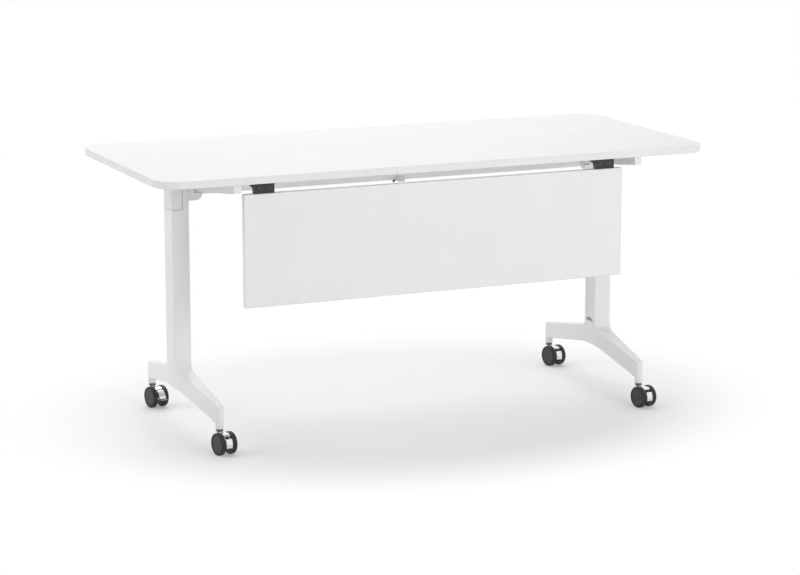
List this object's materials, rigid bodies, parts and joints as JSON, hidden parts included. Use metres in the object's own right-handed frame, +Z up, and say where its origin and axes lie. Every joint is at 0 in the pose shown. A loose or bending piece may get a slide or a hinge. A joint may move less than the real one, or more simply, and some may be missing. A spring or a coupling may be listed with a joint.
{
  "type": "flip top training table",
  "caption": "Flip-top training table: a long white board that tips up on T-shaped legs with arched feet and braked twin-wheel casters, with a folding front panel.",
  "frame": {"origin": "on the floor below the middle of the board", "axes": "+X along the board's length to the right as seen from the front, +Y from the front panel to the back edge, +Z up"},
  "size_m": [1.6, 0.7, 0.74],
  "materials": {
    "white_melamine": "white melamine on particle board, satin",
    "white_edge": "white plastic edge band, satin",
    "white_lacquer": "white powder coat on steel tube",
    "white_casting": "white powder coat on cast or extruded aluminium",
    "white_plastic": "moulded white plastic",
    "black_plastic": "moulded black plastic, fine grain",
    "wheel_grey": "dark grey moulded wheel",
    "chrome": "bright chrome",
    "steel": "plain turned steel",
    "dark_steel": "dark zinc-plated steel",
    "bronze": "plain bush bronze",
    "rubber": "black rubber"
  },
  "bodies": {
    "legs": {"foot_right": "white_casting", "foot_left": "white_casting", "column_right": "white_casting", "column_left": "white_casting", "cable_cover_right": "white_plastic", "cable_cover_left": "white_plastic", "head_cover_right": "white_plastic", "head_cover_left": "white_plastic", "pivot_housing_right": "white_casting", "pivot_housing_left": "white_casting", "pivot_bush_right": "bronze", "pivot_bush_left": "bronze", "stop_pad_right": "rubber", "stop_pad_left": "rubber", "front_left_caster_stem": "dark_steel", "front_right_caster_stem": "dark_steel", "rear_left_caster_stem": "dark_steel", "rear_right_caster_stem": "dark_steel"},
    "top": {"table_top": "white_melamine", "edge_band": "white_edge", "crossbeam": "white_lacquer", "support_arm_right": "white_casting", "support_arm_left": "white_casting", "pivot_shaft_right": "steel", "pivot_shaft_left": "steel", "hinge_bracket_right": "black_plastic", "hinge_bracket_left": "black_plastic", "hinge_pin_right": "steel", "hinge_pin_left": "steel", "lever_pin": "steel", "lever_plate": "white_plastic"},
    "panel": {"modesty_panel": "white_melamine", "panel_edge_band": "white_edge", "hinge_leaf_right": "black_plastic", "hinge_leaf_left": "black_plastic"},
    "lock_lever": {"release_lever": "white_lacquer"},
    "right_lock_rod": {"lock_rod_right": "steel"},
    "left_lock_rod": {"lock_rod_left": "steel"},
    "front_left_caster": {"front_left_caster_hood": "chrome", "front_left_caster_axle": "steel"},
    "front_left_right_wheel": {"front_left_wheel_right": "wheel_grey"},
    "front_left_left_wheel": {"front_left_wheel_left": "wheel_grey"},
    "front_left_pedal": {"front_left_brake_pedal": "chrome"},
    "front_right_caster": {"front_right_caster_hood": "chrome", "front_right_caster_axle": "steel"},
    "front_right_right_wheel": {"front_right_wheel_right": "wheel_grey"},
    "front_right_left_wheel": {"front_right_wheel_left": "wheel_grey"},
    "front_right_pedal": {"front_right_brake_pedal": "chrome"},
    "rear_left_caster": {"rear_left_caster_hood": "chrome", "rear_left_caster_axle": "steel"},
    "rear_left_right_wheel": {"rear_left_wheel_right": "wheel_grey"},
    "rear_left_left_wheel": {"rear_left_wheel_left": "wheel_grey"},
    "rear_left_pedal": {"rear_left_brake_pedal": "chrome"},
    "rear_right_caster": {"rear_right_caster_hood": "chrome", "rear_right_caster_axle": "steel"},
    "rear_right_right_wheel": {"rear_right_wheel_right": "wheel_grey"},
    "rear_right_left_wheel": {"rear_right_wheel_left": "wheel_grey"},
    "rear_right_pedal": {"rear_right_brake_pedal": "chrome"}
  },
  "joints": [
    {"name": "top_flip", "type": "hinge", "parent": "legs", "child": "top", "pos_m": [0, 0.008, 0.672], "axis": [-1, 0, 0], "range_deg": [0, 90]},
    {"name": "panel_fold", "type": "hinge", "parent": "top", "child": "panel", "pos_m": [0, -0.29, 0.691], "axis": [1, 0, 0], "range_deg": [0, 75]},
    {"name": "lever_turn", "type": "hinge", "parent": "top", "child": "lock_lever", "pos_m": [0, 0, 0.6977], "axis": [0, 1, 0], "range_deg": [0, 30]},
    {"name": "right_rod_slide", "type": "slide", "parent": "top", "child": "right_lock_rod", "axis": [1, 0, 0], "range_m": [0, 0.00693]},
    {"name": "left_rod_slide", "type": "slide", "parent": "top", "child": "left_lock_rod", "axis": [-1, 0, 0], "range_m": [0, 0.00693]},
    {"name": "front_left_swivel", "type": "hinge", "parent": "legs", "child": "front_left_caster", "pos_m": [-0.627, -0.285, 0.058], "axis": [0, 0, 1], "continuous": true},
    {"name": "front_left_right_roll", "type": "hinge", "parent": "front_left_caster", "child": "front_left_right_wheel", "pos_m": [-0.62283, -0.30863, 0.03], "axis": [0.9848, 0.1736, 0], "continuous": true},
    {"name": "front_left_left_roll", "type": "hinge", "parent": "front_left_caster", "child": "front_left_left_wheel", "pos_m": [-0.62283, -0.30863, 0.03], "axis": [0.9848, 0.1736, 0], "continuous": true},
    {"name": "front_left_brake", "type": "hinge", "parent": "front_left_caster", "child": "front_left_pedal", "pos_m": [-0.62052, -0.32173, 0.0446], "axis": [-0.9848, -0.1736, 0], "range_deg": [0, 30]},
    {"name": "front_right_swivel", "type": "hinge", "parent": "legs", "child": "front_right_caster", "pos_m": [0.627, -0.285, 0.058], "axis": [0, 0, 1], "continuous": true},
    {"name": "front_right_right_roll", "type": "hinge", "parent": "front_right_caster", "child": "front_right_right_wheel", "pos_m": [0.63117, -0.30863, 0.03], "axis": [0.9848, 0.1736, 0], "continuous": true},
    {"name": "front_right_left_roll", "type": "hinge", "parent": "front_right_caster", "child": "front_right_left_wheel", "pos_m": [0.63117, -0.30863, 0.03], "axis": [0.9848, 0.1736, 0], "continuous": true},
    {"name": "front_right_brake", "type": "hinge", "parent": "front_right_caster", "child": "front_right_pedal", "pos_m": [0.63348, -0.32173, 0.0446], "axis": [-0.9848, -0.1736, 0], "range_deg": [0, 30]},
    {"name": "rear_left_swivel", "type": "hinge", "parent": "legs", "child": "rear_left_caster", "pos_m": [-0.627, 0.269, 0.058], "axis": [0, 0, 1], "continuous": true},
    {"name": "rear_left_right_roll", "type": "hinge", "parent": "rear_left_caster", "child": "rear_left_right_wheel", "pos_m": [-0.62283, 0.24536, 0.03], "axis": [0.9848, 0.1736, 0], "continuous": true},
    {"name": "rear_left_left_roll", "type": "hinge", "parent": "rear_left_caster", "child": "rear_left_left_wheel", "pos_m": [-0.62283, 0.24536, 0.03], "axis": [0.9848, 0.1736, 0], "continuous": true},
    {"name": "rear_left_brake", "type": "hinge", "parent": "rear_left_caster", "child": "rear_left_pedal", "pos_m": [-0.62052, 0.23227, 0.0446], "axis": [-0.9848, -0.1736, 0], "range_deg": [-30, 0]},
    {"name": "rear_right_swivel", "type": "hinge", "parent": "legs", "child": "rear_right_caster", "pos_m": [0.627, 0.269, 0.058], "axis": [0, 0, 1], "continuous": true},
    {"name": "rear_right_right_roll", "type": "hinge", "parent": "rear_right_caster", "child": "rear_right_right_wheel", "pos_m": [0.63117, 0.24536, 0.03], "axis": [0.9848, 0.1736, 0], "continuous": true},
    {"name": "rear_right_left_roll", "type": "hinge", "parent": "rear_right_caster", "child": "rear_right_left_wheel", "pos_m": [0.63117, 0.24536, 0.03], "axis": [0.9848, 0.1736, 0], "continuous": true},
    {"name": "rear_right_brake", "type": "hinge", "parent": "rear_right_caster", "child": "rear_right_pedal", "pos_m": [0.63348, 0.23227, 0.0446], "axis": [-0.9848, -0.1736, 0], "range_deg": [0, 30]}
  ],
  "couplings": [
    {"joint": "lever_turn", "follows": "right_rod_slide", "rad_per_m": 75.577},
    {"joint": "left_rod_slide", "follows": "right_rod_slide", "ratio": 1}
  ]
}
